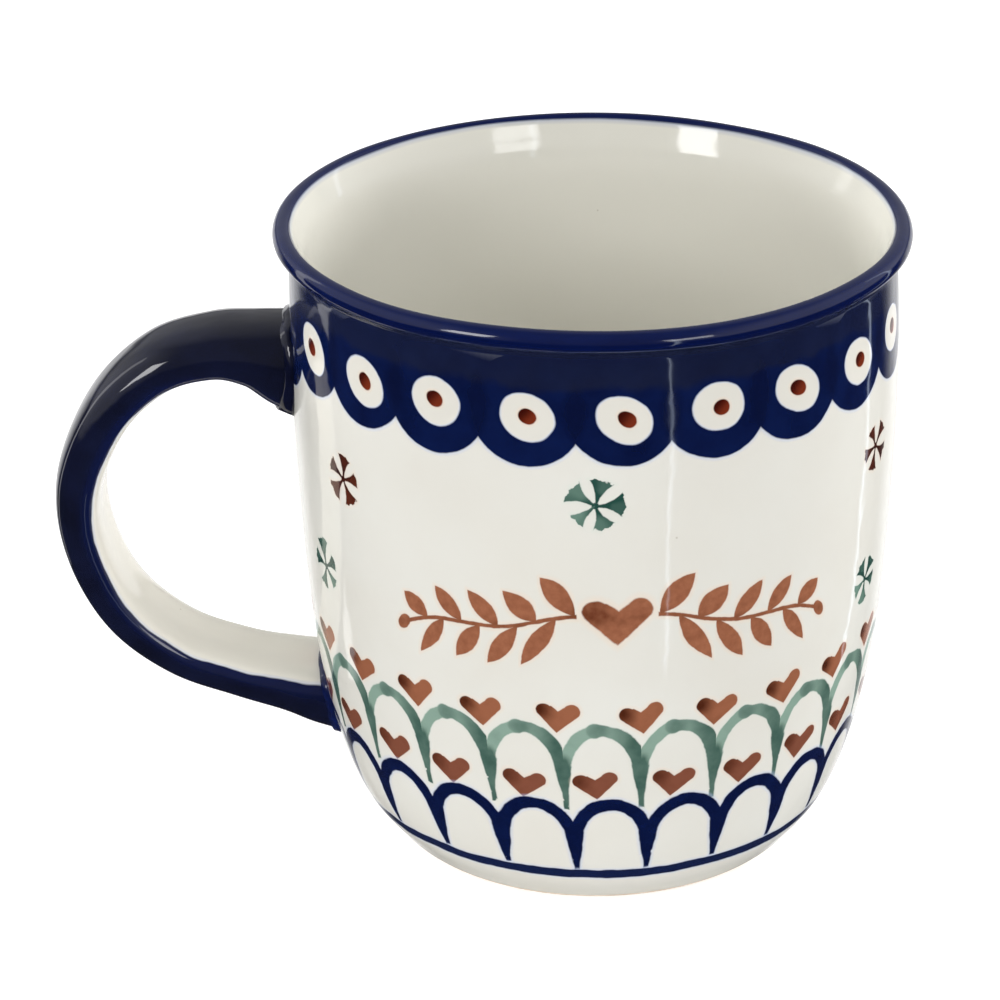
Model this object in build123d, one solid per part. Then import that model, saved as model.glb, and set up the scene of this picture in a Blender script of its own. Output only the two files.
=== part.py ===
from build123d import *
import os

# A round-bodied stoneware mug with a pulled strap handle.
# Frame: origin at the centre of the foot ring's resting plane, on the cup's axis.
# +Z is up through the mouth, the handle points along -X, the decorated front faces -Y.
# Lengths are in millimetres.

os.makedirs("parts", exist_ok=True)

# ---------------------------------------------------------------- driving dimensions

HEIGHT = 94.0            # foot to the crown of the lip
LIP_R = 45.4             # outermost radius of the rolled lip
LIP_ROUND = 1.7          # radius of the roll's round section
NECK_R = 43.3            # outer radius just under the lip
BELLY_R = 43.7           # widest outer radius, about two thirds of the way up
WALL = 4.1               # wall thickness of the cup

FOOT_OUT_R = 31.0        # outer edge of the bare foot ring
FOOT_IN_R = 26.5         # inner edge of the bare foot ring
FOOT_RECESS = 1.8        # height of the hollow under the cup
FLOOR_TOP = 8.0          # inside floor above the table

HANDLE_HALF_W = 7.9      # half the strap's width in its run
ROOT_HALF_W = 8.7        # half the strap's width where it is luted on
BEAD = 1.3               # how far the slip bead stands proud of handle and wall

# ---------------------------------------------------------------- the cup's profile

# Outer wall from the heel up to the neck, as (radius, height).
OUTER = [
    (FOOT_OUT_R + 0.7, 0.9),
    (35.6, 6.4),
    (38.5, 14.0),
    (40.9, 25.0),
    (42.6, 40.0),
    (43.4, 54.0),
    (BELLY_R, 66.0),
    (BELLY_R - 0.1, 78.0),
    (NECK_R, 89.6),
]
OUTER_ENDS = [(0.75, 0.66), (-0.04, 1.0)]

# Inner wall from under the lip down to the floor's edge.
INNER = [
    (LIP_R - 3.6, HEIGHT - 2.6),
    (BELLY_R - WALL, 68.0),
    (42.7 - WALL, 42.0),
    (40.9 - WALL - 0.2, 25.0),
    (34.0, 15.0),
    (27.5, FLOOR_TOP + 1.2),
    (16.0, FLOOR_TOP),
]


def outer_edges():
    """The outside of the cup: heel, wall and the rolled lip up to its crown."""
    wall = Spline(*OUTER, tangents=OUTER_ENDS)
    roll_r = LIP_R - LIP_ROUND
    roll_z = HEIGHT - LIP_ROUND
    under_lip = Spline(
        OUTER[-1],
        (LIP_R, roll_z),
        tangents=[(-0.04, 1.0), (0.0, 1.0)],
    )
    lip_outside = ThreePointArc(
        (LIP_R, roll_z),
        (roll_r + LIP_ROUND * 0.7071, roll_z + LIP_ROUND * 0.7071),
        (roll_r, HEIGHT),
    )
    return [wall, under_lip, lip_outside]


def solid_of(edges):
    """Turn a closed profile in the XZ plane once round the cup's axis."""
    face = Plane.XZ * make_face(edges)
    return revolve(face, axis=Axis.Z)


def filled_cup(grow=0.0):
    """The cup's outside as one solid lump, grown by `grow`, used to trim what meets the wall."""
    wall = Spline(
        *[(r + grow, z) for r, z in OUTER],
        tangents=OUTER_ENDS,
    )
    low = OUTER[0]
    high = OUTER[-1]
    edges = [
        wall,
        Line((high[0] + grow, high[1]), (0, high[1])),
        Line((0, high[1]), (0, low[1])),
        Line((0, low[1]), (low[0] + grow, low[1])),
    ]
    return solid_of(edges)


def make_cup():
    """The thrown cup: wall, lip, floor and the bare ring it stands on."""
    crown = (LIP_R - LIP_ROUND, HEIGHT)
    lip_inside = Spline(
        crown,
        INNER[0],
        tangents=[(-1.0, 0.0), (-0.15, -1.0)],
    )
    inside = Spline(*INNER, tangents=[(-0.15, -1.0), (-1.0, 0.0)])
    heel = OUTER[0]
    foot = [
        Line(INNER[-1], (0, FLOOR_TOP)),
        Line((0, FLOOR_TOP), (0, FOOT_RECESS)),
        Line((0, FOOT_RECESS), (FOOT_IN_R - 2.2, FOOT_RECESS)),
        Line((FOOT_IN_R - 2.2, FOOT_RECESS), (FOOT_IN_R, 0)),
        Line((FOOT_IN_R, 0), (FOOT_OUT_R, 0)),
        Line((FOOT_OUT_R, 0), heel),
    ]
    return solid_of([*outer_edges(), lip_inside, inside, *foot])


# ---------------------------------------------------------------- the handle

# Centre line in the XZ plane from the upper root round to the lower root,
# as (x, z, thickness of the strap, half its width).
HANDLE = [
    (-39.0, 71.6, 14.4, ROOT_HALF_W),
    (-44.0, 72.7, 12.6, ROOT_HALF_W - 0.2),
    (-49.5, 74.2, 8.9, HANDLE_HALF_W + 0.1),
    (-55.5, 74.7, 7.5, HANDLE_HALF_W),
    (-63.8, 72.2, 7.2, HANDLE_HALF_W),
    (-71.3, 65.0, 7.0, HANDLE_HALF_W),
    (-76.1, 53.5, 6.8, HANDLE_HALF_W),
    (-75.8, 42.3, 6.7, HANDLE_HALF_W),
    (-71.0, 31.8, 6.6, HANDLE_HALF_W),
    (-62.7, 25.0, 6.5, HANDLE_HALF_W),
    (-53.3, 21.6, 6.7, HANDLE_HALF_W),
    (-45.8, 19.8, 8.0, HANDLE_HALF_W + 0.3),
    (-41.0, 18.6, 9.8, ROOT_HALF_W - 0.2),
    (-36.0, 17.6, 11.2, ROOT_HALF_W),
]


def strap_section(thick, half_w):
    """A strap's section: nearly flat towards the fingers, crowned on the outside."""
    t = thick / 2
    w = half_w
    side = [
        (0.0, t),
        (w * 0.58, t),
        (w * 0.90, t * 0.76),
        (w, t * 0.10),
        (w * 0.86, -t * 0.60),
        (w * 0.48, -t * 0.92),
        (0.0, -t),
    ]
    other = [(-x, y) for x, y in reversed(side[1:-1])]
    return make_face(Spline(*side, *other, periodic=True))


def handle_run(grow=0.0, stations=HANDLE):
    """The strap lofted along its centre line, `grow` thicker on every side."""
    line = Spline(*[(x, 0, z) for x, z, _, _ in HANDLE])
    sections = []
    for x, z, thick, half_w in stations:
        here = Vector(x, 0, z)
        along = line.tangent_at(line.param_at_point(here))
        plane = Plane(origin=here, x_dir=(0, 1, 0), z_dir=along)
        sections.append(plane * strap_section(thick + 2 * grow, half_w + grow))
    return loft(sections)


cup_body = make_cup()
core = filled_cup()
handle = handle_run() - core


# ---------------------------------------------------------------- the luted joints

def slip_joint(stations):
    """The bead of slip that seals one end of the handle to the wall."""
    collar = handle_run(BEAD, stations) & filled_cup(BEAD)
    return collar - core - handle


upper_slip_joint = slip_joint(HANDLE[:3])
lower_slip_joint = slip_joint(HANDLE[-3:])

# ---------------------------------------------------------------- one file per piece

PIECES = {
    "cup_body": cup_body,
    "handle": handle,
    "upper_slip_joint": upper_slip_joint,
    "lower_slip_joint": lower_slip_joint,
}

for name, shape in PIECES.items():
    shape.label = name
    export_step(shape, f"parts/{name}.step")
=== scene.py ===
import math

import bpy
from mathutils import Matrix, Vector, noise


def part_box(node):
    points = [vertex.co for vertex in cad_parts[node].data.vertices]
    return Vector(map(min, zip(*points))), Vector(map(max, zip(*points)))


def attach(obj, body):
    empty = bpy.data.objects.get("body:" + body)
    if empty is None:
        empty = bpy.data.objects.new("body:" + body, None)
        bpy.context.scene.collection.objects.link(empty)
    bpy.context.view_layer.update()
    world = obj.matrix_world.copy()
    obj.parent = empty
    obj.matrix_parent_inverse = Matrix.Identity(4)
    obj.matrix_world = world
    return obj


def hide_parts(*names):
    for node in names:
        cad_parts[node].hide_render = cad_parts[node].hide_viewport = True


# The looks of a hand-decorated stoneware mug: a glazed cup, its pulled strap handle and the two
# beads of slip that join them. All sizes below are millimetres in the CAD frame: the foot stands
# on Z = 0, the handle points along -X and the decorated front faces -Y. Angles round the cup are
# measured from the front, positive towards +X.

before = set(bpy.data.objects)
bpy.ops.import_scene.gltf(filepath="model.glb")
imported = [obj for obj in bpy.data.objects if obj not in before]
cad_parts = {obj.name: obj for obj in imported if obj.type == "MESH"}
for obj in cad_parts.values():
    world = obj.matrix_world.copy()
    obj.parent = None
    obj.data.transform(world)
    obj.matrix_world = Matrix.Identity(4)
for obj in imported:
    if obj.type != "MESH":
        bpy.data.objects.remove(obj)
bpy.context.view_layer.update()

MM = 0.001
CUP_LOW, CUP_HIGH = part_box("cup_body")
RIM_Z = CUP_HIGH.z / MM
LIP_R = (CUP_HIGH.x - CUP_LOW.x) / 2 / MM

# ---------------- shapes

LIP_ROUND = 1.7                     # radius of the rolled lip's section
LIP_LEAN = -0.45                    # the mouth sits this far off the foot's axis, along X
LEAN_FROM = 60.0                    # and the wall starts to lean at this height

OUTER = [                           # outside wall from the heel to the neck: radius, height
    (31.7, 0.9), (35.6, 6.4), (38.5, 14.0), (40.9, 25.0), (42.6, 40.0),
    (43.4, 54.0), (43.7, 66.0), (43.6, 78.0), (43.3, 89.6),
]
INNER = [                           # inside wall from under the lip to the middle of the floor
    (42.1, 91.8), (40.9, 88.6), (40.1, 83.0), (39.7, 74.0), (39.5, 62.0), (38.6, 42.0), (36.6, 25.0),
    (34.0, 15.0), (27.5, 9.2), (16.0, 8.0), (1.0, 7.9),
]
FOOT = [                            # underside from the middle of the hollow to the heel
    (1.0, 1.8), (22.0, 1.8), (24.3, 1.7), (25.8, 0.7), (26.6, 0.1), (27.4, 0.0),
    (30.0, 0.0), (30.8, 0.12), (31.7, 0.9),
]

HANDLE = [                          # centre x, centre z, thickness, half width, root to root
    (-39.0, 71.6, 14.4, 8.7), (-44.0, 72.6, 12.5, 8.5), (-49.5, 74.0, 8.7, 8.0),
    (-55.4, 74.2, 7.2, 7.9), (-63.4, 71.6, 7.0, 7.9), (-70.7, 64.4, 7.0, 7.9),
    (-75.4, 53.3, 6.8, 7.9), (-74.8, 42.6, 6.6, 7.9), (-70.1, 32.6, 6.4, 7.9),
    (-62.1, 25.7, 6.1, 7.9), (-53.1, 22.1, 6.3, 7.9), (-45.8, 20.2, 7.5, 8.2),
    (-41.0, 18.9, 9.3, 8.5), (-36.0, 17.9, 10.8, 8.7),
]
STRAP_SIDE = [                      # half the strap's outline, in half widths and half thicknesses
    (0.0, 1.0), (0.58, 1.0), (0.90, 0.76), (1.0, 0.10), (0.86, -0.60), (0.48, -0.92), (0.0, -1.0),
]
RUN_HALF_W = 7.9                    # half the strap's width and thickness in its run
RUN_HALF_THICK = 3.5
WHITE_HALF_W = 6.9                  # half the width of the strap's unpainted inner face
SINK = 1.5                          # how far the strap runs on into the cup's wall
ROOT_STATIONS = 3.0                 # the strap meets the wall within this many points of its end

BEAD_EDGE = 0.1                     # a bead's two thin edges lie this deep in wall and strap
BEAD_SKIRT = 0.35                   # its hidden skin starts this much deeper
BEAD_ROOT = 0.9                     # and its hidden corner is this deep
BEAD_ARC = (0.0, 0.1, 0.22, 0.36, 0.5, 0.64, 0.78, 0.9, 1.0)

# Hand-made unevenness: the size of its features, how far it pushes, and its seed.
WALL_WAVE = (28, 0.16, 0.0)
WALL_RIPPLE = (9, 0.05, 7.0)
WALL_WAVES_FROM = 12                # it grows from the foot, which is true, up to this height
RIM_WAVE = (30, 0.22, 3.0)
RIM_WAVE_FROM = 80                  # the rim's own wave starts here and is full 14 mm higher
RIM_WAVE_OVER = 14
STRAP_WAVES = [(12, 0.13, seed) for seed in (1.0, 5.0, 9.0)]

AROUND_CUP = 320
AROUND_STRAP = 72
ALONG_STRAP = 150

PAINTED, WHITE, BARE = 0, 1, 2      # the cup's materials, in the order that make_cup takes them


def spline(points, t):
    """A smooth curve through `points`; `t` counts points from the first one."""
    last = len(points) - 1
    i = min(max(int(math.floor(t)), 0), last - 1)
    f = t - i
    near = points[i]
    far = points[i + 1]
    before = points[i - 1] if i > 0 else [2 * a - b for a, b in zip(near, far)]
    after = points[i + 2] if i + 2 <= last else [2 * b - a for a, b in zip(near, far)]
    curve = []
    for p0, p1, p2, p3 in zip(before, near, far, after):
        bend = (p2 - p0) * f
        bend += (2 * p0 - 5 * p1 + 4 * p2 - p3) * f * f
        bend += (3 * p1 - 3 * p2 + p3 - p0) * f ** 3
        curve.append(p1 + bend / 2)
    return curve


def sampled(points, steps):
    """`steps` points for each span of the spline through `points`, the last point included."""
    count = (len(points) - 1) * steps
    return [spline(points, k / steps) for k in range(count + 1)]


def eased(start, end, leave, arrive, steps):
    """A curve between two points with the given directions at its ends, without the ends."""
    chord = math.dist(start, end)
    curve = []
    for k in range(1, steps):
        t = k / steps
        weights = (
            2 * t ** 3 - 3 * t * t + 1,
            (t ** 3 - 2 * t * t + t) * chord,
            3 * t * t - 2 * t ** 3,
            (t ** 3 - t * t) * chord,
        )
        ends = (start, leave, end, arrive)
        curve.append([sum(w * p[axis] for w, p in zip(weights, ends)) for axis in (0, 1)])
    return curve


def cup_profile():
    """The cup's section from heel to heel: [(radius, height, material index)]."""
    wall = sampled(OUTER, 14)
    roll_r = LIP_R - LIP_ROUND
    roll_z = RIM_Z - LIP_ROUND
    under_lip = eased(OUTER[-1], (LIP_R, roll_z), (-0.04, 1.0), (0.0, 1.0), 8)
    turns = [math.radians(90 * k / 10) for k in range(11)]
    roll = [[roll_r + LIP_ROUND * math.cos(a), roll_z + LIP_ROUND * math.sin(a)] for a in turns]
    over_lip = eased(roll[-1], INNER[0], (-1.0, 0.0), (-0.48, -1.0), 9)
    inside = sampled(INNER, 8)
    foot = sampled(FOOT, 3)[:-1]
    rows = [(r, z, PAINTED) for r, z in wall + under_lip + roll + over_lip]
    rows += [(r, z, WHITE) for r, z in inside]
    rows += [(r, max(z, 0.0), WHITE if r < FOOT[2][0] else BARE) for r, z in foot]
    return rows


OUTSIDE = sampled(OUTER, 40)


def wall_radius(z):
    """The outside radius of the wall at height `z`."""
    for (r0, z0), (r1, z1) in zip(OUTSIDE, OUTSIDE[1:]):
        if z0 <= z <= z1:
            return r0 + (r1 - r0) * (z - z0) / (z1 - z0)
    return OUTSIDE[0][0] if z < OUTSIDE[0][1] else OUTSIDE[-1][0]


def wall_normal(point):
    """The outward direction of the wall at a point on it."""
    slope = (wall_radius(point.z + 1) - wall_radius(point.z - 1)) / 2
    return Vector((point.x, point.y, -slope * math.hypot(point.x, point.y))).normalized()


def new_piece(name, vertices, faces, materials, indices=None):
    """A smooth-shaded mesh object from millimetre vertices."""
    mesh = bpy.data.meshes.new(name)
    mesh.from_pydata([Vector(v) * MM for v in vertices], [], faces)
    for material in materials:
        mesh.materials.append(material)
    for number, face in enumerate(mesh.polygons):
        face.use_smooth = True
        face.material_index = indices[number] if indices else 0
    mesh.validate()
    piece = bpy.data.objects.new(name, mesh)
    bpy.context.collection.objects.link(piece)
    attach(piece, "root")
    return piece


def map_faces(piece, uv_of_corner):
    """Writes the piece's bake map; `uv_of_corner(face, corner)` gives each corner's place."""
    layer = piece.data.uv_layers.new(name="OFBake")
    for face in piece.data.polygons:
        for corner, loop in enumerate(face.loop_indices):
            layer.data[loop].uv = uv_of_corner(face.index, corner)


def wavering(point, size, amount, seed):
    """A smooth hand-made unevenness at a millimetre point, about -amount to amount."""
    return amount * noise.noise(Vector(point) / size + Vector((seed, seed, seed)))


def fan(hub, ring, flip):
    """Triangles that close a ring of vertices from the vertex in its middle."""
    faces = []
    for k, here in enumerate(ring):
        beside = ring[(k + 1) % len(ring)]
        faces.append([hub, beside, here] if flip else [hub, here, beside])
    return faces


def cup_vertices(profile):
    """The cup's rings of points, pushed slightly out of true and leaning towards the mouth."""
    vertices = []
    for r, z, _ in profile:
        lean = LIP_LEAN * max(0.0, (z - LEAN_FROM) / (RIM_Z - LEAN_FROM)) ** 2
        for k in range(AROUND_CUP):
            a = math.tau * k / AROUND_CUP
            out = Vector((math.sin(a), -math.cos(a), 0))
            at = out * r + Vector((0, 0, z))
            push = wavering(at, *WALL_WAVE) + wavering(at, *WALL_RIPPLE)
            push *= min(1.0, z / WALL_WAVES_FROM)
            lift = wavering(at, *RIM_WAVE) * max(0.0, (z - RIM_WAVE_FROM) / RIM_WAVE_OVER)
            vertices.append(at + out * push + Vector((lean, 0, lift)))
    return vertices


def cup_walls(profile, floor_edge):
    """Quads between the profile's rings, open in the middle of the floor, and their materials."""
    rows = len(profile)
    faces = []
    indices = []
    for row in range(rows):
        if row == floor_edge:
            continue
        above = (row + 1) % rows
        for k in range(AROUND_CUP):
            beside = (k + 1) % AROUND_CUP
            quad = [row * AROUND_CUP + k, row * AROUND_CUP + beside]
            quad += [above * AROUND_CUP + beside, above * AROUND_CUP + k]
            faces.append(quad)
            indices.append(profile[row][2])
    return faces, indices


def make_cup(materials):
    """The cup: one closed skin turned round the axis, with a disc in each side of its floor."""
    profile = cup_profile()
    floor_edge = next(k for k, row in enumerate(profile) if row[:2] == FOOT[0]) - 1
    vertices = cup_vertices(profile)
    faces, indices = cup_walls(profile, floor_edge)
    quads = len(faces)
    for row, flip in ((floor_edge, False), (floor_edge + 1, True)):
        ring = [row * AROUND_CUP + k for k in range(AROUND_CUP)]
        faces += fan(len(vertices), ring, flip)
        vertices.append(Vector((0, 0, profile[row][1])))
        indices += [WHITE] * AROUND_CUP
    cup = new_piece("cup_shell", vertices, faces, materials, indices)
    map_faces(cup, cup_map(profile, floor_edge, quads))
    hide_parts("cup_body")


# The cup's bake map, in shares of its width and height.
MAP_EDGE = 0.004                    # margin at either side
MAP_SPAN = 1 - 2 * MAP_EDGE
STRIPS = {"foot": (0.004, 0.040), "inside": (0.048, 0.170), "lip": (0.178, 0.235),
          "left": (0.243, 0.616), "right": (0.624, 0.997)}
DISC_ROWS = (0.1745, 0.2385)        # the floor's two discs lie in gaps between the strips
DISC_HEIGHT = 0.002
LIP_STRIP_FROM = 90.0               # millimetres above the foot
FOOT_STRIP_BELOW = 2.0


def cup_map(profile, floor_edge, quads):
    """Where each corner of the cup's faces lies: two half turns of the wall, then thin strips."""
    rows = len(profile)
    length = [0.0]
    for (r0, z0, _), (r1, z1, _) in zip(profile, profile[1:] + profile[:1]):
        length.append(length[-1] + math.dist((r0, z0), (r1, z1)))
    wall_end = next(k for k, (_, z, _) in enumerate(profile) if z > LIP_STRIP_FROM)
    inside_start = next(k for k, (_, _, m) in enumerate(profile) if m == WHITE)
    foot_start = next(k for k in range(inside_start, rows) if profile[k][1] < FOOT_STRIP_BELOW)
    spans = {"wall": (0, wall_end), "lip": (wall_end, inside_start),
             "inside": (inside_start, foot_start), "foot": (foot_start, rows)}

    def place(face, corner):
        if face >= quads:
            side, k = divmod(face - quads, AROUND_CUP)
            along = (k + (corner == 1)) / AROUND_CUP
            return (MAP_EDGE + MAP_SPAN * along, DISC_ROWS[side] + DISC_HEIGHT * (corner == 0))
        row, k = divmod(face, AROUND_CUP)
        row += 1 if row >= floor_edge else 0
        part = next(n for n, (a, b) in spans.items() if a <= row < b)
        first, last = spans[part]
        up = length[row + (1 if corner >= 2 else 0)]
        share = (up - length[first]) / (length[last] - length[first])
        step = 1 if corner in (1, 2) else 0
        if part == "wall":
            half = AROUND_CUP // 2
            quarter_on = (k + AROUND_CUP // 4) % AROUND_CUP
            strip = "left" if quarter_on < half else "right"
            across = (quarter_on % half + step) / half
        else:
            strip = part
            across = (k + step) / AROUND_CUP
        low, high = STRIPS[strip]
        return (MAP_EDGE + MAP_SPAN * across, low + (high - low) * share)

    return place


def strap_outline():
    """The strap's closed outline as shares of half width and half thickness, from mid inner face."""
    loop = STRAP_SIDE + [(-a, b) for a, b in reversed(STRAP_SIDE[1:-1])]
    count = len(loop)
    outline = []
    for k in range(AROUND_STRAP):
        t = k * count / AROUND_STRAP
        i = int(t)
        window = [loop[(i + step) % count] for step in (-1, 0, 1, 2)]
        outline.append(spline(window, 1 + t - i))
    return outline


OUTLINE = strap_outline()


def strap_point(s, line):
    """The point of the strap's skin at station `s` on one of its lengthwise lines."""
    x, z, thick, half_w = spline(HANDLE, s)
    x0, z0 = spline(HANDLE, s - 0.01)[:2]
    x1, z1 = spline(HANDLE, s + 0.01)[:2]
    along = Vector((x1 - x0, z1 - z0)).normalized()
    across, inwards = OUTLINE[line]
    inwards *= thick / 2
    return Vector((x - along.y * inwards, across * half_w, z + along.x * inwards))


def strap_cut(line, sink, inner, outer):
    """Station where one lengthwise line of the strap is `sink` under the wall's surface."""
    for _ in range(26):
        middle = (inner + outer) / 2
        p = strap_point(middle, line)
        if math.hypot(p.x, p.y) < wall_radius(p.z) - sink:
            inner = middle
        else:
            outer = middle
    return (inner + outer) / 2


def strap_stations(sink):
    """For each lengthwise line of the strap, where it leaves the wall and where it comes back."""
    last = len(HANDLE) - 1
    cuts = []
    for line in range(AROUND_STRAP):
        leaves = strap_cut(line, sink, 0.0, ROOT_STATIONS)
        returns = strap_cut(line, sink, last, last - ROOT_STATIONS)
        cuts.append((leaves, returns))
    return cuts


def ring_faces(rows, around, closed):
    """Quads joining `rows` rings of `around` points, and the last to the first if `closed`."""
    faces = []
    for row in range(rows if closed else rows - 1):
        other = (row + 1) % rows
        for k in range(around):
            beside = (k + 1) % around
            quad = [row * around + k, other * around + k]
            quad += [other * around + beside, row * around + beside]
            faces.append(quad)
    return faces


def mark_strap(handle):
    """Stores how far round each point is past the white face's border, and how far along."""
    middle = [(a * RUN_HALF_W, b * RUN_HALF_THICK) for a, b in OUTLINE]
    gaps = [math.dist(a, b) for a, b in zip(middle, middle[1:])]
    reach = [sum(gaps[:k]) for k in range(AROUND_STRAP)]
    border = next(d for d, (a, _) in zip(reach, middle) if a > WHITE_HALF_W)
    whole = reach[-1] + gaps[0]
    from_border = handle.data.attributes.new("from_border", "FLOAT", "POINT")
    along = handle.data.attributes.new("along", "FLOAT", "POINT")
    for number, item in enumerate(from_border.data):
        row, k = divmod(number, AROUND_STRAP)
        item.value = min(reach[k], whole - reach[k]) - border
        along.data[number].value = row / ALONG_STRAP


STRAP_MAP_SPAN = 0.984              # the strap's bake map: its skin's share of the length
STRAP_ENDS_AT = (0.995, 0.5)        # and where its two hidden ends lie, beside the skin
STRAP_ENDS_SIZE = 0.003


def strap_map(skin_faces):
    """Where each corner of the strap's faces lies: the skin unrolled, with its ends beside it."""

    def place(face, corner):
        if face >= skin_faces:
            u, v = STRAP_ENDS_AT
            return (u + STRAP_ENDS_SIZE * (corner == 1), v + STRAP_ENDS_SIZE * (corner == 2))
        row, k = divmod(face, AROUND_STRAP)
        row += 1 if corner in (1, 2) else 0
        k += 1 if corner in (2, 3) else 0
        return (MAP_EDGE + STRAP_MAP_SPAN * row / ALONG_STRAP, MAP_EDGE + MAP_SPAN * k / AROUND_STRAP)

    return place


def make_handle(material):
    """The strap, pulled from wall to wall, its ends closed inside the wall."""
    stations = strap_stations(SINK)
    vertices = []
    for row in range(ALONG_STRAP + 1):
        share = row / ALONG_STRAP
        for k, (first, last) in enumerate(stations):
            p = strap_point(first + (last - first) * share, k)
            vertices.append(p + Vector([wavering(p, *wave) for wave in STRAP_WAVES]))
    faces = ring_faces(ALONG_STRAP + 1, AROUND_STRAP, closed=False)
    skin_faces = len(faces)
    for row, flip in ((0, False), (ALONG_STRAP, True)):
        ring = [row * AROUND_STRAP + k for k in range(AROUND_STRAP)]
        faces += fan(len(vertices), ring, flip)
        vertices.append(sum((vertices[v] for v in ring), Vector()) / AROUND_STRAP)
    handle = new_piece("strap_handle", vertices, faces, [material])
    mark_strap(handle)
    map_faces(handle, strap_map(skin_faces))
    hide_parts("handle")


def strap_meets_wall(end):
    """Each line's station, point and direction where it leaves the wall, and stations per mm."""
    step = 0.05 if end == 0 else -0.05
    meetings = []
    for line, cuts in enumerate(strap_stations(0.0)):
        here = strap_point(cuts[end], line)
        onwards = strap_point(cuts[end] + step, line) - here
        meetings.append((cuts[end], here, onwards.normalized(), step / onwards.length))
    return meetings


def bead_section(point, foot, crest, head, wall_out, strap_out):
    """One section of a bead: its hidden corner, then the bulge from the wall to the strap."""
    section = [point - wall_out * BEAD_ROOT - strap_out * BEAD_ROOT, foot - wall_out * BEAD_SKIRT]
    for t in BEAD_ARC:
        section.append(foot * (1 - t) ** 2 + crest * 2 * t * (1 - t) + head * t * t)
    section.append(head - strap_out * BEAD_SKIRT)
    return section


def make_bead(name, node, end, reach, hang, fullness, material):
    """The ring of slip round one end of the strap; `end` is 0 for the upper root, 1 the lower.

    It reaches `reach` along strap and wall, and `hang` further under the strap.
    """
    meetings = strap_meets_wall(end)
    crossing = [here for _, here, _, _ in meetings]
    low = min(p.z for p in crossing)
    high = max(p.z for p in crossing)
    sections = []
    for k, (cut, point, up_strap, pace) in enumerate(meetings):
        round_joint = (crossing[(k + 1) % AROUND_STRAP] - crossing[k - 1]).normalized()
        wall_out = wall_normal(point)
        strap_out = up_strap.cross(round_joint).normalized()
        if end == 0:
            strap_out = -strap_out
        on_wall = wall_out.cross(round_joint).normalized()
        if on_wall.dot(strap_out) < 0:
            on_wall = -on_wall
        uneven = 1 + wavering(point, 5.0, 0.35, end * 4.0) + wavering(point, 2.6, 0.10, 2.0)
        under = max(0.0, 1 - 2 * (point.z - low) / (high - low)) ** 1.5
        size = reach * uneven + hang * under
        foot = point + on_wall * size - wall_out * BEAD_EDGE
        crest = point + (on_wall + up_strap) * size * (fullness * (1 - 0.5 * under))
        head = strap_point(cut + pace * size, k) - strap_out * BEAD_EDGE
        sections.append(bead_section(point, foot, crest, head, wall_out, strap_out))
    vertices = [p for section in sections for p in section]
    faces = ring_faces(AROUND_STRAP, len(sections[0]), closed=True)
    bead = new_piece(name, vertices, faces, [material])
    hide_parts(node)


# ---------------- shader arithmetic

class Field:
    """A number that varies over a surface. Arithmetic on it adds Math nodes to its shader."""

    def __init__(self, tree, socket):
        self.tree = tree
        self.socket = socket

    def __add__(self, other):
        return calc("ADD", self, other)

    def __radd__(self, other):
        return calc("ADD", other, self)

    def __sub__(self, other):
        return calc("SUBTRACT", self, other)

    def __rsub__(self, other):
        return calc("SUBTRACT", other, self)

    def __mul__(self, other):
        return calc("MULTIPLY", self, other)

    def __truediv__(self, other):
        return calc("DIVIDE", self, other)

    def __neg__(self):
        return calc("MULTIPLY", self, -1.0)


def calc(operation, *terms, clamp=False):
    """One Math node on numbers and fields."""
    tree = next(t.tree for t in terms if isinstance(t, Field))
    node = tree.nodes.new("ShaderNodeMath")
    node.operation = operation
    node.use_clamp = clamp
    for slot, term in zip(node.inputs, terms):
        if isinstance(term, Field):
            tree.links.new(term.socket, slot)
        else:
            slot.default_value = term
    return Field(tree, node.outputs[0])


def set_inputs(node, values):
    """Sets inputs of a node by name."""
    for name, value in values.items():
        node.inputs[name].default_value = value


def size_of(a):
    return calc("ABSOLUTE", a)


def lesser(a, b):
    return calc("MINIMUM", a, b)


def greater(a, b):
    return calc("MAXIMUM", a, b)


def melded(a, b, reach):
    """The lesser of two distances, with the corner between them filled in over `reach`."""
    return calc("SMOOTH_MIN", a, b, reach)


def below(a, limit):
    return calc("LESS_THAN", a, limit)


def span(a, b):
    """The length of the vector (a, b)."""
    return calc("SQRT", a * a + b * b)


def held(a):
    """`a` kept between 0 and 1."""
    return lesser(greater(a, 0.0), 1.0)


def rise(a, start, end):
    """0 before `start`, 1 after `end`, and smooth between; `start` may be the larger."""
    node = a.tree.nodes.new("ShaderNodeMapRange")
    node.interpolation_type = "SMOOTHSTEP"
    a.tree.links.new(a.socket, node.inputs["Value"])
    first, last = (0.0, 1.0) if start < end else (1.0, 0.0)
    set_inputs(node, {"From Min": min(start, end), "From Max": max(start, end),
                      "To Min": first, "To Max": last})
    return Field(a.tree, node.outputs["Result"])


def within(distance, softness=0.16):
    """1 where a signed distance is negative, fading to 0 over `softness` millimetres."""
    return calc("MULTIPLY_ADD", distance, -1.0 / softness, 0.5, clamp=True)


def turned(u, v, degrees):
    """(u, v) seen from axes turned anticlockwise by a fixed angle."""
    c = math.cos(math.radians(degrees))
    s = math.sin(math.radians(degrees))
    return u * c + v * s, v * c - u * s


def turned_by(u, v, radians):
    """(u, v) seen from axes turned anticlockwise by an angle that varies."""
    c = calc("COSINE", radians)
    s = calc("SINE", radians)
    return u * c + v * s, v * c - u * s


def linear(colour):
    """An sRGB colour of 0 to 255 as the linear RGBA that a shader socket takes."""
    parts = []
    for value in colour:
        c = value / 255
        parts.append(c / 12.92 if c <= 0.04045 else ((c + 0.055) / 1.055) ** 2.4)
    return (*parts, 1.0)


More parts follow.
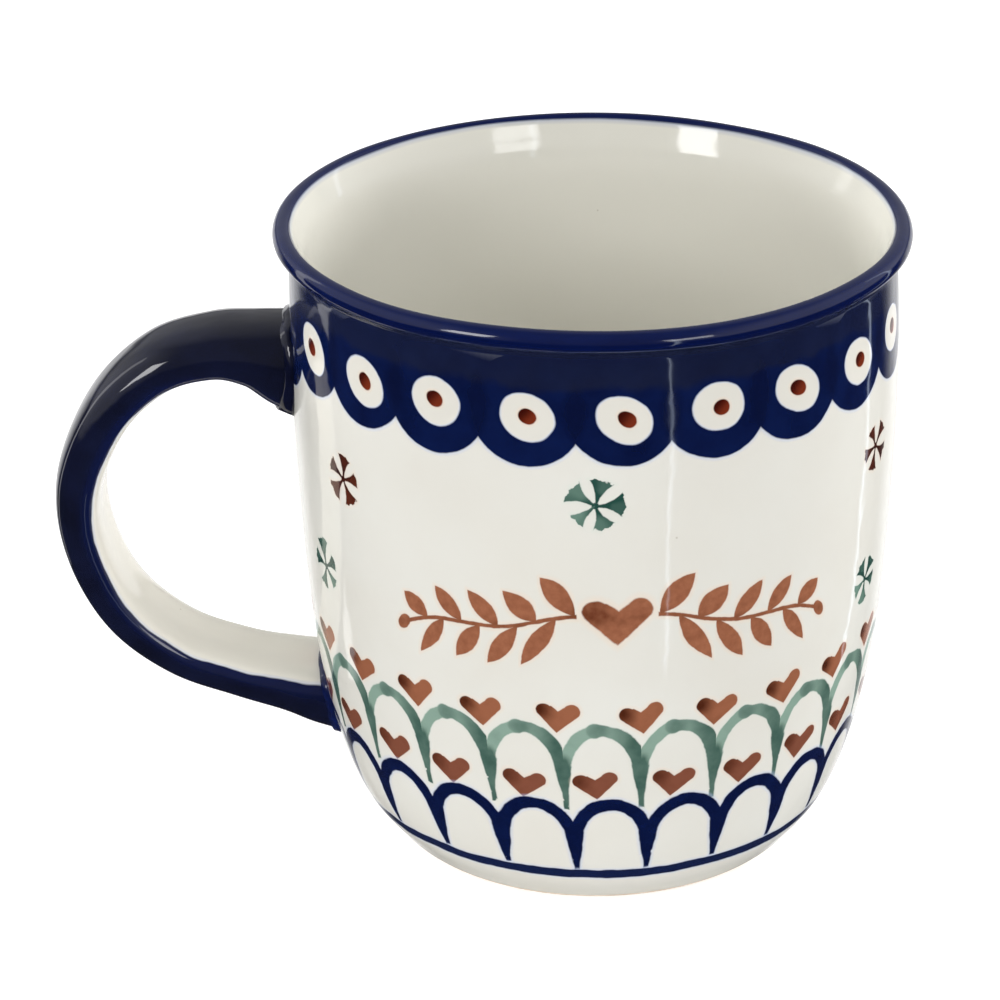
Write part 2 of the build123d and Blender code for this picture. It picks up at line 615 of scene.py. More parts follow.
class Coat:
    """One material: colours laid one over another, under one glaze or bare."""

    def __init__(self, name, ground, roughness, grain=None):
        self.material = bpy.data.materials.new(name)
        self.material.use_nodes = True
        self.tree = self.material.node_tree
        self.shader = self.tree.nodes["Principled BSDF"]
        set_inputs(self.shader, {"Roughness": roughness, "IOR": 1.5})
        self.colour = ground
        coordinates = self.tree.nodes.new("ShaderNodeTexCoord")
        scaled = self.tree.nodes.new("ShaderNodeVectorMath")
        scaled.operation = "SCALE"
        scaled.inputs["Scale"].default_value = 1 / MM
        self.tree.links.new(coordinates.outputs["Object"], scaled.inputs[0])
        self.place = scaled.outputs["Vector"]
        self.x, self.y, self.z = self.parts(self.place)
        if grain:
            self.ripple(*grain)

    def parts(self, vector):
        node = self.tree.nodes.new("ShaderNodeSeparateXYZ")
        self.tree.links.new(vector, node.inputs[0])
        return [Field(self.tree, node.outputs[axis]) for axis in range(3)]

    def noise_node(self, size, detail):
        node = self.tree.nodes.new("ShaderNodeTexNoise")
        set_inputs(node, {"Scale": 1 / size, "Detail": detail})
        self.tree.links.new(self.place, node.inputs["Vector"])
        return node

    def cloud(self, size, detail):
        """Three smooth random fields of about -1 to 1 with features `size` millimetres across."""
        node = self.noise_node(size, detail)
        return [(part - 0.5) * 4.0 for part in self.parts(node.outputs["Color"])]

    def chance(self, number, seed):
        """Three random values of -1 to 1 that are the same wherever `number` is the same."""
        joined = self.tree.nodes.new("ShaderNodeCombineXYZ")
        self.tree.links.new(number.socket, joined.inputs[0])
        joined.inputs[1].default_value = seed
        node = self.tree.nodes.new("ShaderNodeTexWhiteNoise")
        node.noise_dimensions = "2D"
        self.tree.links.new(joined.outputs[0], node.inputs["Vector"])
        return [part * 2.0 - 1.0 for part in self.parts(node.outputs["Color"])]

    def blend(self, amount, first, second):
        """The colour `amount` of the way from `first` to `second`."""
        node = self.tree.nodes.new("ShaderNodeMix")
        node.data_type = "RGBA"
        self.tree.links.new(amount.socket, node.inputs[0])
        for slot, colour in ((node.inputs[6], first), (node.inputs[7], second)):
            if isinstance(colour, bpy.types.NodeSocket):
                self.tree.links.new(colour, slot)
            else:
                slot.default_value = linear(colour)
        return node.outputs[2]

    def lay(self, mask, colour):
        """Lays a colour over everything so far where `mask` is 1."""
        self.colour = self.blend(mask, self.colour, colour)

    def stain(self, distance, colour, bleed, softness=0.16, spread=0.7, strength=0.5):
        """Lays a painted shape with a faint bleed of thinner colour round its edge."""
        self.lay(within(distance - spread * 0.3, spread) * strength, bleed)
        self.lay(within(distance, softness), colour)

    def specks(self, spacing, size, colour, share):
        """Sparse specks of iron in the clay: `share` of the cells hold one."""
        node = self.tree.nodes.new("ShaderNodeTexVoronoi")
        node.inputs["Scale"].default_value = 1 / spacing
        self.tree.links.new(self.place, node.inputs["Vector"])
        pick, other, _ = self.parts(node.outputs["Color"])
        near = Field(self.tree, node.outputs["Distance"]) * spacing
        mask = within(near - (other * 0.7 + 0.3) * size, size) * below(pick, share)
        self.lay(mask * 0.6, colour)

    def ripple(self, size, strength):
        """A slight unevenness of the glaze that bends its reflections."""
        node = self.noise_node(size, 2.0)
        bump = self.tree.nodes.new("ShaderNodeBump")
        set_inputs(bump, {"Strength": strength, "Distance": MM})
        self.tree.links.new(node.outputs["Fac"], bump.inputs["Height"])
        self.tree.links.new(bump.outputs["Normal"], self.shader.inputs["Normal"])

    def done(self):
        self.tree.links.new(self.colour, self.shader.inputs["Base Color"])
        return self.material


# ---------------- pigments

GLAZE_WARM = (217, 214, 205)
GLAZE_COOL = (221, 220, 213)
# painted light: the same white glaze, painted lighter for the inside and underside, which get less
# light
GLAZE_PLAIN_PAINTED_LIGHTER = (234, 232, 222)
# painted light: the cup's white glaze painted lighter for the strap's inner face, which sits in shade
GLAZE_FACE_PAINTED_LIGHTER = (238, 235, 226)
SPECK = (150, 138, 118)
COBALT = (3, 11, 47)
COBALT_THIN = (9, 26, 73)
COBALT_DEEP = (4, 8, 36)
COBALT_BLEED = (176, 192, 228)
LIP_COBALT = (3, 14, 58)
# the lighter blue of the lip's crown: partly thin cobalt, partly a painted highlight
LIP_COBALT_THIN_PLUS_HIGHLIGHT = (6, 25, 80)
LINE_COBALT = (16, 28, 66)
BAND = (27, 33, 56)
BAND_DEEP = (18, 22, 42)
NAVY = (17, 22, 48)
NAVY_DEEP = (11, 14, 32)
NAVY_EDGE = (13, 22, 62)
UPPER_SLIP_DEEP = (9, 12, 32)
UPPER_SLIP_THIN = (13, 19, 48)
LOWER_SLIP_DEEP = (9, 16, 50)
LOWER_SLIP_THIN = (17, 31, 84)
EYE_RIM = (196, 204, 222)
BROWN = (148, 92, 66)
BROWN_DEEP = (74, 33, 17)
BROWN_LOW = (124, 73, 55)
BROWN_BLEED = (228, 205, 184)
SPRIG_BROWN = (156, 99, 72)
SPRIG_BROWN_DEEP = (96, 48, 28)
FLOWER_BROWN = (88, 40, 26)
FLOWER_BROWN_DEEP = (52, 18, 11)
GREEN_THIN = (132, 158, 144)
GREEN = (110, 140, 126)
GREEN_DEEP = (34, 70, 62)
GREEN_BLEED = (206, 216, 206)
PUPIL = (112, 42, 22)
PUPIL_DEEP = (58, 12, 5)
CLAY = (230, 218, 204)
CLAY_DEEP = (212, 196, 178)

# ---------------- the decoration, row by row

LIP_BLUE = 2.4                      # the lip's blue comes down this far outside
LIP_EDGE_R = 42.8                   # and stops at this radius on top
COLLAR_INSET = 0.4                  # the collar under it stops this much further out
LIP_WHITE_DOWN = 3.0                # inside that radius the glaze is plain down to here
DISC = dict(count=21, phase=5.2, down=11.6, radius=7.9, at_r=43.5)
ROOT_DISC = (-79.5, 14.4)           # one more disc behind the strap's root: angle, down
BAND_DOWN = 8.0                     # the dark collar's lower edge
EYE_DOWN = 12.5                     # the eyes' middles, down from the rim
EYES_SKIPPED_AT = -89.0             # the strap's root hides the disc here, so it has no eye
EYE_CLEAR_OF_ROOT = 16.0            # degrees either way from there
EYE_R = 3.6
PUPIL_R = 1.18
HEARTS_HIGH = dict(count=24, phase=8.3, down=58.5, at_r=42.9)
HEARTS_LOW = dict(count=24, phase=0.3, down=69.8, at_r=41.0)
GREEN_ARCH = dict(count=24, phase=1.0, down=67.9, wide=5.5, tall=7.5, half=0.9, at_r=42.3)
BLUE_ARCH = dict(count=23, phase=2.9, down=80.7, wide=5.4, tall=7.3, half=1.05, at_r=40.0)
ARCH_SLANT = 0.05                   # degrees that the arches slide for each millimetre up
FOOT_LINE = (87.1, 0.92)            # down from the rim, half thickness

HEART_TIP = (0.0, -2.5)             # a stamped heart, from its middle
HEART_TIP_R = 0.10
HEART_LEFT = ((-2.00, 0.80), 1.18)  # middle and radius of a lobe
HEART_RIGHT = ((1.95, 1.00), 1.22)
HEART_DARK_END = (-2.6, 1.1)        # the stamp's pigment gathers here

FLOWERS = [                         # angle, down from the rim, turn, 1 green or 0 brown
    (-53.0, 29.2, 12.0, 0), (64.0, 27.5, 40.0, 0), (-62.6, 45.8, 30.0, 1),
    (0.0, 25.1, 5.0, 1), (63.0, 48.2, 55.0, 1), (118.0, 28.6, 20.0, 1),
    (104.0, 47.4, 62.0, 0), (146.0, 46.9, 8.0, 1), (165.0, 28.0, 48.0, 0),
    (-165.0, 46.2, 33.0, 0), (-140.0, 28.9, 70.0, 1), (-120.0, 46.5, 15.0, 0),
]
FLOWER_R = 4.1
FLOWER_CELL_R = 6.5                 # a flower is drawn this far round its middle
FLOWER_AT_R = 43.5
PETALS = 5

SPRIG_MIDDLE = 4.0                  # angle of the sprigs' heart
SPRIG_DOWN = 42.6                   # the stem at the heart, down from the rim
SPRIG_REACH = 41.0                  # each sprig's length in degrees
SPRIG_AT_R = 43.6
LEAF_PITCH = 7.2                    # degrees between leaves along the stem
LEAF_TURN = 53.0                    # degrees from the stem
LEAVES = 4.4                        # the upper side's last leaf comes before this number


def row_cell(angle, count, phase):
    """The cell of a row that a point is in: its number, and degrees from its middle."""
    pitch = 360.0 / count
    along = (angle - phase) / pitch
    number = calc("FLOOR", along + 0.5)
    offset = (along - number) * pitch
    return calc("FLOORED_MODULO", number, float(count)), offset


def arc(degrees, radius):
    """Degrees round the cup as millimetres along its wall."""
    return degrees * math.radians(radius)


def drop(u, v, tip, lobe, tip_r, lobe_r):
    """Distance to a drop that swells from `tip_r` at `tip` to `lobe_r` at `lobe`."""
    ax, ay = lobe[0] - tip[0], lobe[1] - tip[1]
    length = math.hypot(ax, ay)
    du, dv = u - tip[0], v - tip[1]
    t = held(du * (ax / length ** 2) + dv * (ay / length ** 2))
    return span(du - t * ax, dv - t * ay) - (t * (lobe_r - tip_r) + tip_r)


def heart(u, v):
    """Distance to a stamped heart, and distance from the end where its pigment gathers."""
    lobes = []
    for lobe, lobe_r in (HEART_LEFT, HEART_RIGHT):
        lobes.append(drop(u, v, HEART_TIP, lobe, HEART_TIP_R, lobe_r))
    beside = size_of(u)
    sides = (beside - (v - HEART_TIP[1]) * 0.86) * 0.76
    notch = (v - beside * 0.75 - 0.95) * 0.80
    middle = greater(greater(sides, notch), greater(v - 1.7, beside - 2.0))
    dark = span(u - HEART_DARK_END[0], v - HEART_DARK_END[1])
    return lesser(lesser(*lobes), middle), dark


def lay_hearts(coat, angle, z, row, seed, colour, strength):
    """A row of stamped hearts, each a little off its place."""
    number, offset = row_cell(angle, row["count"], row["phase"])
    du, dv, turn = coat.chance(number, seed)
    u = arc(offset, row["at_r"]) + du * 0.35
    v = z - (RIM_Z - row["down"]) + dv * 0.3
    u, v = turned_by(u, v, turn * 0.14)
    shape, dark = heart(u, v)
    mottle = coat.cloud(1.4, 3.0)[0]
    depth = rise(dark, 2.9, 0.2) * strength + mottle * 0.10 + rise(u + v * 0.6, 1.0, -2.6) * 0.15
    tone = coat.blend(held(depth), colour, BROWN_DEEP)
    coat.stain(shape, tone, BROWN_BLEED, 0.14, 0.8, 0.55)


def petal(off_axis, r, flare, start, end):
    """Distance to a fan-shaped petal, a thin stalk near the centre and broad at its end."""
    side = size_of(off_axis) * r - (r * r * flare + 0.17)
    return greater(side, greater(start - r, r - end))


def total(fields):
    """The sum of several fields."""
    first, *others = fields
    for field in others:
        first = first + field
    return first


def flower_places(angle, z):
    """Which flower's cell a point is in: place from its middle, cover, green or not, and seed."""
    across, up, cells, greens, seeds = [], [], [], [], []
    for degrees, down, turn, is_green in FLOWERS:
        du = calc("WRAP", angle - degrees, 180.0, -180.0) * math.radians(FLOWER_AT_R)
        dv = z - (RIM_Z - down)
        here = below(span(du, dv), FLOWER_CELL_R)
        au, av = turned(du, dv, turn)
        across.append(au * here)
        up.append(av * here)
        cells.append(here)
        seeds.append(here * (turn * 0.37))
        if is_green:
            greens.append(here)
    return [total(fields) for fields in (across, up, cells, greens, seeds)]


def lay_flowers(coat, angle, z):
    """Pinwheels of five brushed petals, each placed and turned by its own row of FLOWERS."""
    u, v, covered, green, seed = flower_places(angle, z)
    r = span(u, v)
    turns = calc("ARCTAN2", v, u) * (PETALS / math.tau)
    number = calc("FLOOR", turns + 0.5)
    lean = (turns - number) * (math.tau / PETALS)
    which = calc("FLOORED_MODULO", number, float(PETALS))
    size, swing, depth = coat.chance(which + calc("FLOOR", seed), 31.0)
    ragged = coat.cloud(0.9, 2.0)[1]
    end = size * 0.45 + FLOWER_R - 0.35 + ragged * 0.35
    shape = petal(lean + swing * 0.10, r, swing * 0.02 + 0.096, 0.35, end)
    shape = lesser(shape, r - 0.5) + ragged * 0.06
    shape = shape + (1.0 - covered) * 50.0
    tone = held(depth * 0.5 + 0.45 + rise(r, 2.4, 0.8) * 0.5 + rise(lean, -0.1, 0.3) * 0.25)
    green_tone = coat.blend(tone, GREEN, GREEN_DEEP)
    brown_tone = coat.blend(tone, FLOWER_BROWN, FLOWER_BROWN_DEEP)
    bleed = coat.blend(green, BROWN_BLEED, GREEN_BLEED)
    coat.stain(shape, coat.blend(green, brown_tone, green_tone), bleed, 0.14, 0.7, 0.45)


def leaf_row(coat, away, v, side, shift):
    """Distance to the leaves on one side of the stem, which grow smaller outwards.

    `side` is 1 above the stem and -1 below it, and `shift` slides the row along the stem.
    """
    along = away / LEAF_PITCH - (1.55 + shift)
    number = calc("FLOOR", along + 0.5)
    pitch = arc(LEAF_PITCH, SPRIG_AT_R)
    du = (along - number) * pitch + pitch * 0.5
    lu, lv = turned(du, v * side, LEAF_TURN)
    uneven = coat.chance(number + side * 7.0, 53.0)
    smaller = 1.0 - number * 0.055
    length = (uneven[0] * 0.5 + 8.0) * smaller
    t = (lu - length * 0.5) / (length * 0.5)
    leaf = size_of(lv - lu * uneven[1] * 0.05) - (1.0 - t * t) * 1.5 * smaller
    leaf = greater(leaf, greater(-lu, lu - length))
    beyond_row = greater(-number - 0.5, number - (LEAVES - shift))
    return greater(leaf, beyond_row * 50.0)


def lay_sprigs(coat, angle, z):
    """Two leafy sprigs running out from a heart, brushed in brown across the front."""
    away = size_of(angle - SPRIG_MIDDLE)
    sag = away * away * 0.0028
    v = z - (RIM_Z - SPRIG_DOWN) + sag
    u = arc(away, SPRIG_AT_R)
    sway = calc("SINE", away * (math.tau / (4 * LEAF_PITCH))) * 0.7
    v = v - sway
    shape = greater(size_of(v) - 0.32, greater(5.6 - u, u - arc(SPRIG_REACH, SPRIG_AT_R)))
    for side, shift in ((1.0, 0.0), (-1.0, 0.5)):
        shape = lesser(shape, leaf_row(coat, away, v, side, shift))
    berry = span(u - arc(SPRIG_REACH + 1.2, SPRIG_AT_R), v) - 1.15
    shape = lesser(shape, berry)
    grain = coat.cloud(1.1, 3.0)
    heart_u = arc(angle - SPRIG_MIDDLE, SPRIG_AT_R) * 0.66
    middle, dark = heart(heart_u, (z - (RIM_Z - SPRIG_DOWN)) * 0.66)
    shape = lesser(shape, middle)
    depth = grain[2] * 0.22 + 0.18 + rise(dark, 3.0, 0.4) * 0.5 + rise(size_of(v), 1.6, 0.0) * 0.22
    tone = coat.blend(held(depth), SPRIG_BROWN, SPRIG_BROWN_DEEP)
    coat.stain(shape + grain[0] * 0.05, tone, BROWN_BLEED, 0.16, 0.9, 0.6)


def arch_row(angle, z, row):
    """Coordinates from the middle of an arch in a row, and distance to its brushed curve.

    Below its middle the curve runs straight down.
    """
    _, offset = row_cell(angle, row["count"], row["phase"])
    u = arc(offset, row["at_r"])
    v = z - (RIM_Z - row["down"])
    up = greater(v, 0.0)
    k = span(u / row["wide"], up / row["tall"])
    slope = span(u / row["wide"] ** 2, up / row["tall"] ** 2)
    curve = size_of(k * (k - 1.0) / slope)
    return u, v, curve


def arch_leg(u, row, half):
    """Distance to the leg that two neighbouring arches share."""
    half_pitch = arc(180.0 / row["count"], row["at_r"])
    return size_of(half_pitch - size_of(u)) - half


def lay_green_arches(coat, angle, z):
    """Each arch is two strokes: a thin left one and a fuller right one that starts in a blob."""
    slid = angle + (z - (RIM_Z - 60.0)) * ARCH_SLANT
    u, v, curve = arch_row(slid, z, GREEN_ARCH)
    drip = coat.cloud(2.3, 3.0)
    bubbles = rise(coat.cloud(0.7, 1.0)[0], 0.75, 1.15) * rise(v, -1.0, -3.0)
    taper = rise(v, -4.6, 2.0)
    fuller = rise(u, 0.5, 4.5) * 0.25 + drip[2] * 0.14
    ring = curve - (fuller + GREEN_ARCH["half"]) * (taper * 0.75 + 0.25) + bubbles * 0.4
    leg_half = taper * 0.92 + 0.10 + drip[0] * 0.12 - bubbles * 0.4
    leg = arch_leg(u, GREEN_ARCH, leg_half)
    bottom = -6.2 - v + drip[1] * 0.6
    blob = span(u + 0.9, v - 7.45) - 1.2
    shape = greater(melded(ring, greater(leg, v - 1.2), 1.3), bottom)
    shape = melded(shape, blob, 0.5)
    right = greater(rise(u, -0.9, -0.6), within(blob, 0.3))
    depth = right * (rise(u, 0.6, 4.8) * 0.55 + 0.22)
    depth = depth + rise(span(u + 0.4, v - 7.4), 2.2, 0.4) * right * 0.35
    joined = within(leg + (v - 2.4) * 0.25, 0.9) * rise(v, 4.0, 2.4)
    depth = greater(depth, joined * 0.76) + coat.cloud(3.0, 3.0)[1] * 0.14
    tone = coat.blend(held(depth), GREEN_THIN, GREEN_DEEP)
    coat.stain(shape, tone, GREEN_BLEED, 0.20, 0.6, 0.4)


def lay_blue_arches(coat, angle, z):
    """Full cobalt arches whose shared legs run down to points above the foot line."""
    slid = angle + (z - (RIM_Z - 72.0)) * ARCH_SLANT
    u, v, curve = arch_row(slid, z, BLUE_ARCH)
    drip = coat.cloud(2.2, 3.0)
    bubbles = rise(coat.cloud(0.8, 1.0)[2], 0.8, 1.2) * rise(v, -1.5, -3.0)
    taper = rise(v, -6.2, 1.6)
    ring = curve - (BLUE_ARCH["half"] + drip[0] * 0.14) * (taper * 0.8 + 0.2) + bubbles * 0.5
    leg = arch_leg(u, BLUE_ARCH, taper * 1.08 - 0.06 + drip[2] * 0.10 - bubbles * 0.5)
    bottom = -5.2 - v + drip[1] * 0.5
    shape = greater(melded(ring, greater(leg, v - 1.8), 1.3), bottom)
    tone = coat.blend(held(0.35 + drip[1] * 0.25), COBALT, COBALT_THIN)
    coat.stain(shape, tone, COBALT_BLEED, 0.20, 0.7, 0.55)


def lay_discs(coat, angle, z, tone, inside_edge):
    """The row of overlapping cobalt discs, darker where two of them overlap."""
    count, radius, at_r = DISC["count"], DISC["radius"], DISC["at_r"]
    number, offset = row_cell(angle, count, DISC["phase"])
    pitch = arc(360.0 / count, at_r)
    u = arc(offset, at_r)
    v = z - (RIM_Z - DISC["down"])
    discs = []
    for beside in (-1, 0, 1):
        which = calc("FLOORED_MODULO", number + float(beside), float(count))
        du, dv, grow = coat.chance(which, 2.0)
        discs.append(span(u - beside * pitch + du * 0.3, v + dv * 0.35) - (grow * 0.15 + radius))
    left, own, right = discs
    root = span(arc(angle - ROOT_DISC[0], at_r), z - (RIM_Z - ROOT_DISC[1])) - radius
    disc = lesser(lesser(lesser(left, own), right), root)
    over = lesser(greater(left, own), greater(lesser(left, own), right))
    shape = lesser(disc, greater(-v, inside_edge))
    coat.lay(within(shape - 0.2, 0.7) * 0.55, COBALT_BLEED)
    disc_tone = coat.blend(held(tone[0] * 0.30 + 0.45), COBALT, COBALT_THIN)
    coat.lay(within(shape, 0.2), disc_tone)
    coat.lay(within(over, 1.1) * 0.45, COBALT_DEEP)


def lay_band(coat, z, tone, inside_edge):
    """The dark band under the lip, laid over the tops of the discs."""
    band = greater((RIM_Z - BAND_DOWN) - z + tone[1] * 0.9, inside_edge)
    band_tone = coat.blend(held(tone[2] * 0.4 + 0.5), BAND, BAND_DEEP)
    coat.lay(within(band, 1.5), band_tone)


def lay_eyes(coat, angle, z):
    """A white eye with a brown pupil on each disc, except where the strap's root hides it."""
    number, offset = row_cell(angle, DISC["count"], DISC["phase"])
    du, dv, squash = coat.chance(number, 3.0)
    seen = below(EYE_CLEAR_OF_ROOT, size_of(angle - EYES_SKIPPED_AT))
    hidden = (1.0 - seen) * 50.0
    eu = arc(offset, DISC["at_r"]) + du * 0.45
    ev = z - (RIM_Z - EYE_DOWN) + dv * 0.4
    eu = (eu + ev * (squash * 0.12 + 0.16)) * 0.96
    wave = coat.cloud(3.4, 0.0)[1] * 0.07
    eye = span(eu, ev * 1.04) - EYE_R + wave + hidden
    coat.lay(within(eye, 0.24), EYE_RIM)
    coat.lay(within(eye + 0.14, 0.26), GLAZE_WARM)
    pu, pv, lobe = coat.chance(number, 5.0)
    pu = eu + pu * 0.3
    pv = ev + pv * 0.3
    pupil = span(pu * (lobe * 0.08 + 1.0), pv) - PUPIL_R + wave * 0.7 + hidden
    shade = coat.blend(rise(pu - pv, -1.2, 1.2), PUPIL_DEEP, PUPIL)
    coat.stain(pupil, shade, BROWN_BLEED, 0.16, 0.5, 0.7)


def lay_lip(coat, z, r, tone):
    """The lip's blue, lighter over its crown: partly the cobalt breaking thin there, partly a painted
    highlight.
    """
    lip = greater((RIM_Z - LIP_BLUE) - z, LIP_EDGE_R - r)
    # painted highlight in part: the blue lightens towards the crown, together with the glaze breaking
    # thin there
    thin = rise(z, RIM_Z - 1.6, RIM_Z - 0.2)
    blue = coat.blend(held(thin * 0.6 + tone[1] * 0.12), LIP_COBALT, LIP_COBALT_THIN_PLUS_HIGHLIGHT)
    coat.lay(within(lip - 0.15, 0.4) * rise(z, RIM_Z - 3.0, RIM_Z - 1.0) * 0.5, COBALT_BLEED)
    coat.lay(within(lip, 0.18), blue)


def lay_collar(coat, angle, z, r):
    """The dark collar, its overlapping discs with white eyes, and the blue lip."""
    tone = coat.cloud(5.0, 3.0)
    inside_edge = LIP_EDGE_R + COLLAR_INSET - r
    lay_discs(coat, angle, z, tone, inside_edge)
    lay_band(coat, z, tone, inside_edge)
    lay_eyes(coat, angle, z)
    lay_lip(coat, z, r, tone)


def glaze_ground(coat, warm, cool):
    """The white glaze under the paint: clouded, with a few specks."""
    cloudy = coat.cloud(22.0, 3.0)[0]
    coat.colour = coat.blend(held(cloudy * 0.5 + 0.5), warm, cool)
    coat.specks(5.2, 0.16, SPECK, 0.30)


def decorated_wall():
    """The outside of the cup: white glaze with every row of the decoration."""
    coat = Coat("decorated_glaze", None, 0.07, grain=(7.0, 0.10))
    glaze_ground(coat, GLAZE_WARM, GLAZE_COOL)
    broad = coat.cloud(7.0, 2.0)
    fine = coat.cloud(0.9, 2.0)
    leaning = greater((coat.z - LEAN_FROM) / (RIM_Z - LEAN_FROM), 0.0)
    upright_x = coat.x - leaning * leaning * LIP_LEAN
    x = upright_x + broad[0] * 0.16 + fine[0] * 0.03
    z = coat.z + broad[2] * 0.16 + fine[2] * 0.03
    angle = calc("ARCTAN2", x, -coat.y) * math.degrees(1.0)
    r = span(upright_x, coat.y)
    # painted light: the inside of the lip's top takes the inside's lighter-painted white
    coat.lay(within(greater(r - LIP_EDGE_R, (RIM_Z - LIP_WHITE_DOWN) - coat.z)), GLAZE_PLAIN_PAINTED_LIGHTER)
    lay_flowers(coat, angle, z)
    lay_sprigs(coat, angle, z)
    lay_hearts(coat, angle, z, HEARTS_HIGH, 23.0, BROWN, 0.85)
    lay_green_arches(coat, angle, z)
    lay_hearts(coat, angle, z, HEARTS_LOW, 29.0, BROWN_LOW, 0.6)
    lay_blue_arches(coat, angle, z)
    down, half = FOOT_LINE
    line = size_of(z - (RIM_Z - down) + broad[1] * 0.25) - half
    coat.stain(line, LINE_COBALT, COBALT_BLEED, 0.2, 0.7, 0.5)
    lay_collar(coat, angle, z, r)
    return coat.done()


def plain_glaze():
    """The unpainted white glaze inside the cup and under it, painted lighter than the outside's white
    to stand in for the light that reaches there less.
    """
    coat = Coat("inside_glaze", None, 0.08, grain=(8.0, 0.10))
    glaze_ground(coat, GLAZE_PLAIN_PAINTED_LIGHTER, GLAZE_PLAIN_PAINTED_LIGHTER)
    return coat.done()


def bare_clay():
    """The unglazed ring that the cup stands on."""
    coat = Coat("bare_clay", None, 0.85, grain=(0.6, 0.5))
    coat.colour = coat.blend(held(coat.cloud(2.5, 4.0)[0] * 0.5 + 0.5), CLAY, CLAY_DEEP)
    return coat.done()


def handle_glaze():
    """Navy outside and sides, with the white inner face left bare of blue; that face's white is
    painted lighter than the cup's, standing in for light the shaded face lacks.
    """
    coat = Coat("handle_glaze", None, 0.07, grain=(6.0, 0.12))
    # the inner face's white is painted lighter, as painted light for its shade
    glaze_ground(coat, GLAZE_FACE_PAINTED_LIGHTER, GLAZE_FACE_PAINTED_LIGHTER)
    stored = {}
    for name in ("from_border", "along"):
        node = coat.tree.nodes.new("ShaderNodeAttribute")
        node.attribute_name = name
        stored[name] = Field(coat.tree, node.outputs["Fac"])
    wave = coat.cloud(6.0, 2.0)
    ends = lesser(stored["along"] - 0.045, 0.966 - stored["along"]) * 110.0
    narrowed = rise(stored["along"], 0.36, 0.16) * 1.6
    blue = wave[0] * 0.25 - stored["from_border"] - narrowed
    blue = lesser(blue, ends + wave[1] * 0.5)
    tone = coat.blend(held(wave[2] * 0.5 + 0.4), NAVY_DEEP, NAVY)
    edge = coat.blend(rise(blue, -2.6, -0.3), tone, NAVY_EDGE)
    coat.stain(blue, edge, COBALT_BLEED, 0.22, 0.7, 0.6)
    return coat.done()


def joint_glaze(name, deep, thin):
    """Blue slip where the strap is luted on."""
    coat = Coat(name, None, 0.06, grain=(3.0, 0.12))
    coat.colour = coat.blend(held(coat.cloud(3.0, 3.0)[0] * 0.5 + 0.4), deep, thin)
    return coat.done()


# ---------------- studio

WHITE_LIGHT = (1.0, 1.0, 1.0)
COOL_LIGHT = (0.74, 0.85, 1.0)
LIGHTS_AIM = Vector((0, 0, 0.05))   # metres: about the middle of the cup
FLOOR_REACH = 3.0
FLOOR_WHITE = 0.93
FLOOR_GLOW = 0.42                   # the floor is lit from inside, so shadows stay faint

# How strongly each part of the surroundings shines.
FLANKS = 0.48
BEHIND = 0.22
ALL_ROUND = 0.12
BELOW = 0.03
FAR_FLOOR = 0.95

# Softboxes: azimuth, elevation, distance, width, height, power.
FILLS = {
    "fill_top": (10, 80, 2.0, 2.0, 2.0, 12.8),
    "fill_front": (5, 30, 1.6, 1.2, 1.0, 2.2),
    "fill_right": (122, 8, 1.6, 1.2, 0.4, 20),
    "fill_left": (-131, 8, 1.6, 1.2, 0.4, 20),
}

CAMERA_AT = (0.0, -0.468, 0.269)    # metres
CAMERA_DOWN = 25.14                 # degrees below the horizon


def softbox(name, azimuth, elevation, distance, width, height, power, colour=WHITE_LIGHT):
    """An area light aimed at the cup's middle from an angle round it, in degrees and metres."""
    data = bpy.data.lights.new(name, "AREA")
    data.shape = "RECTANGLE"
    data.size = width
    data.size_y = height
    data.energy = power
    data.color = colour
    lamp = bpy.data.objects.new(name, data)
    a = math.radians(azimuth)
    e = math.radians(elevation)
    out = Vector((math.sin(a) * math.cos(e), -math.cos(a) * math.cos(e), math.sin(e)))
    lamp.location = LIGHTS_AIM + out * distance
    lamp.rotation_euler = (-out).to_track_quat("-Z", "Y").to_euler()
    bpy.context.collection.objects.link(lamp)
    return lamp


def lit_floor():
    """A pale floor, faintly lit from inside, that the glaze doesn't mirror."""
    mesh = bpy.data.meshes.new("floor")
    low, high = -FLOOR_REACH, FLOOR_REACH
    corners = [(low, low, 0), (high, low, 0), (high, high, 0), (low, high, 0)]
    mesh.from_pydata(corners, [], [(0, 1, 2, 3)])
    paper = bpy.data.materials.new("floor_paper")
    paper.use_nodes = True
    sheet = paper.node_tree.nodes["Principled BSDF"]
    set_inputs(sheet, {"Base Color": (FLOOR_WHITE, FLOOR_WHITE, FLOOR_WHITE, 1.0), "Roughness": 0.9,
                       "Emission Color": (*WHITE_LIGHT, 1.0), "Emission Strength": FLOOR_GLOW})
    mesh.materials.append(paper)
    floor = bpy.data.objects.new("floor", mesh)
    bpy.context.collection.objects.link(floor)
    floor.visible_glossy = False


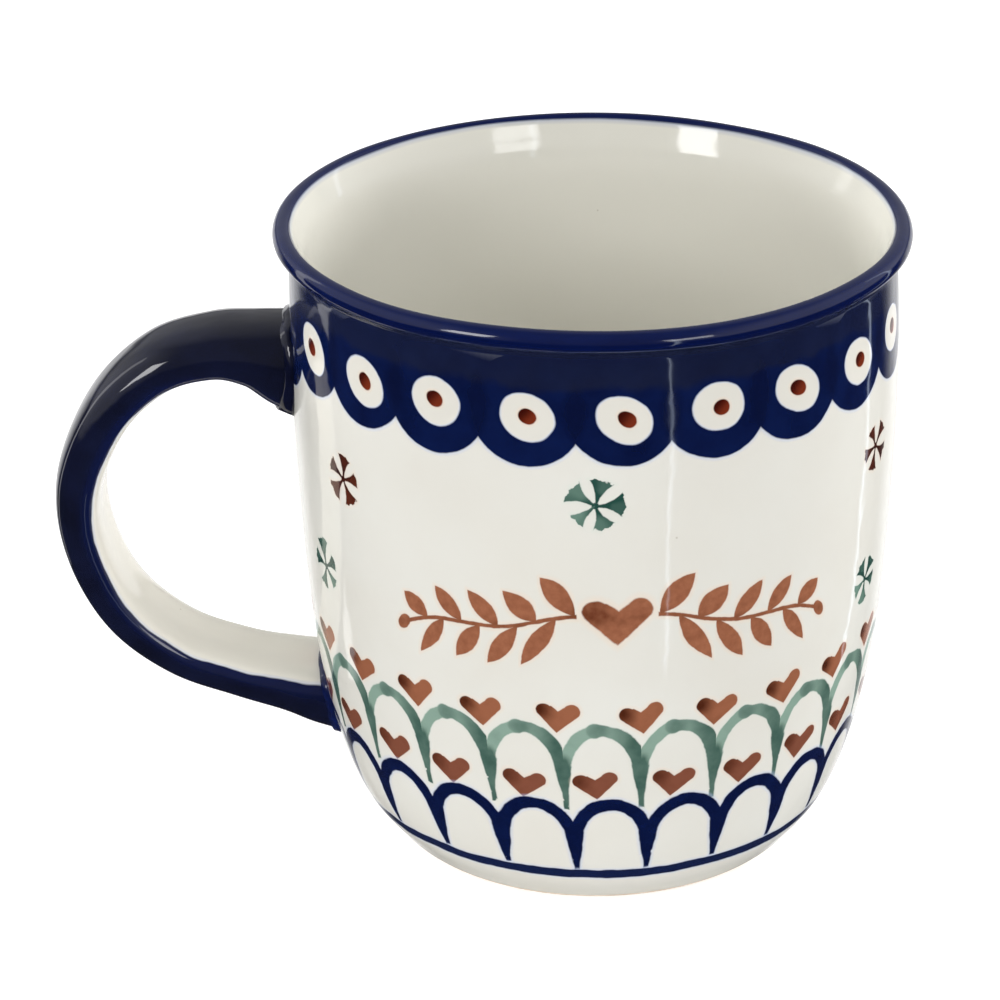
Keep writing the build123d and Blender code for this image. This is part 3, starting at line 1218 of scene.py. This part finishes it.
def surroundings():
    """Soft light from the sides and behind, so that the front's reflections stay dark."""
    world = bpy.data.worlds.new("studio")
    bpy.context.scene.world = world
    world.use_nodes = True
    tree = world.node_tree
    background = tree.nodes["Background"]
    background.inputs["Color"].default_value = (*WHITE_LIGHT, 1.0)
    coordinates = tree.nodes.new("ShaderNodeTexCoord")
    parts = tree.nodes.new("ShaderNodeSeparateXYZ")
    tree.links.new(coordinates.outputs["Generated"], parts.inputs[0])
    side, depth, height = [Field(tree, parts.outputs[axis]) for axis in range(3)]
    flanks = rise(size_of(side), 0.35, 0.8) * (side * 0.1 + 1.0) * FLANKS
    behind = rise(depth, 0.1, 0.7) * BEHIND
    lit = (greater(flanks, behind) + ALL_ROUND) * rise(height, -0.02, 0.12) + BELOW
    far_floor = rise(depth, 0.67, 0.86) * rise(height, 0.04, -0.10) * FAR_FLOOR
    tree.links.new((lit + far_floor).socket, background.inputs["Strength"])


def lights():
    """Broad fills that the glaze doesn't mirror, and windows and strips that it does."""
    for name, settings in FILLS.items():
        softbox(name, *settings).visible_glossy = False
    softbox("window_left", -44, 24, 1.3, 0.34, 0.40, 4.0)
    softbox("window_right", 33, 24, 1.3, 0.38, 0.32, 1.9)
    softbox("strip_front", 27, 0, 0.6, 0.014, 0.8, 0.14, COOL_LIGHT)
    softbox("strip_right", 121, 0, 0.6, 0.018, 0.8, 0.10, COOL_LIGHT)
    softbox("strip_left", -118, 0, 0.6, 0.08, 0.8, 0.25)


def camera():
    """Looks down on the decorated front, with the handle at the left."""
    data = bpy.data.cameras.new("camera")
    data.lens = 126.5
    data.sensor_width = 36.0
    data.shift_x = -0.0955
    data.shift_y = -0.0012
    data.clip_start = 0.02
    view = bpy.data.objects.new("camera", data)
    view.location = CAMERA_AT
    view.rotation_euler = (math.radians(90 - CAMERA_DOWN), 0.0, 0.0)
    bpy.context.collection.objects.link(view)
    bpy.context.scene.camera = view


make_cup([decorated_wall(), plain_glaze(), bare_clay()])
make_handle(handle_glaze())
make_bead("upper_slip_bead", "upper_slip_joint", 0, 1.15, 1.3, 0.42,
          joint_glaze("upper_slip", UPPER_SLIP_DEEP, UPPER_SLIP_THIN))
make_bead("lower_slip_bead", "lower_slip_joint", 1, 1.0, 0.0, 0.60,
          joint_glaze("lower_slip", LOWER_SLIP_DEEP, LOWER_SLIP_THIN))
lit_floor()
surroundings()
lights()
camera()
bpy.context.scene.view_settings.view_transform = "Standard"
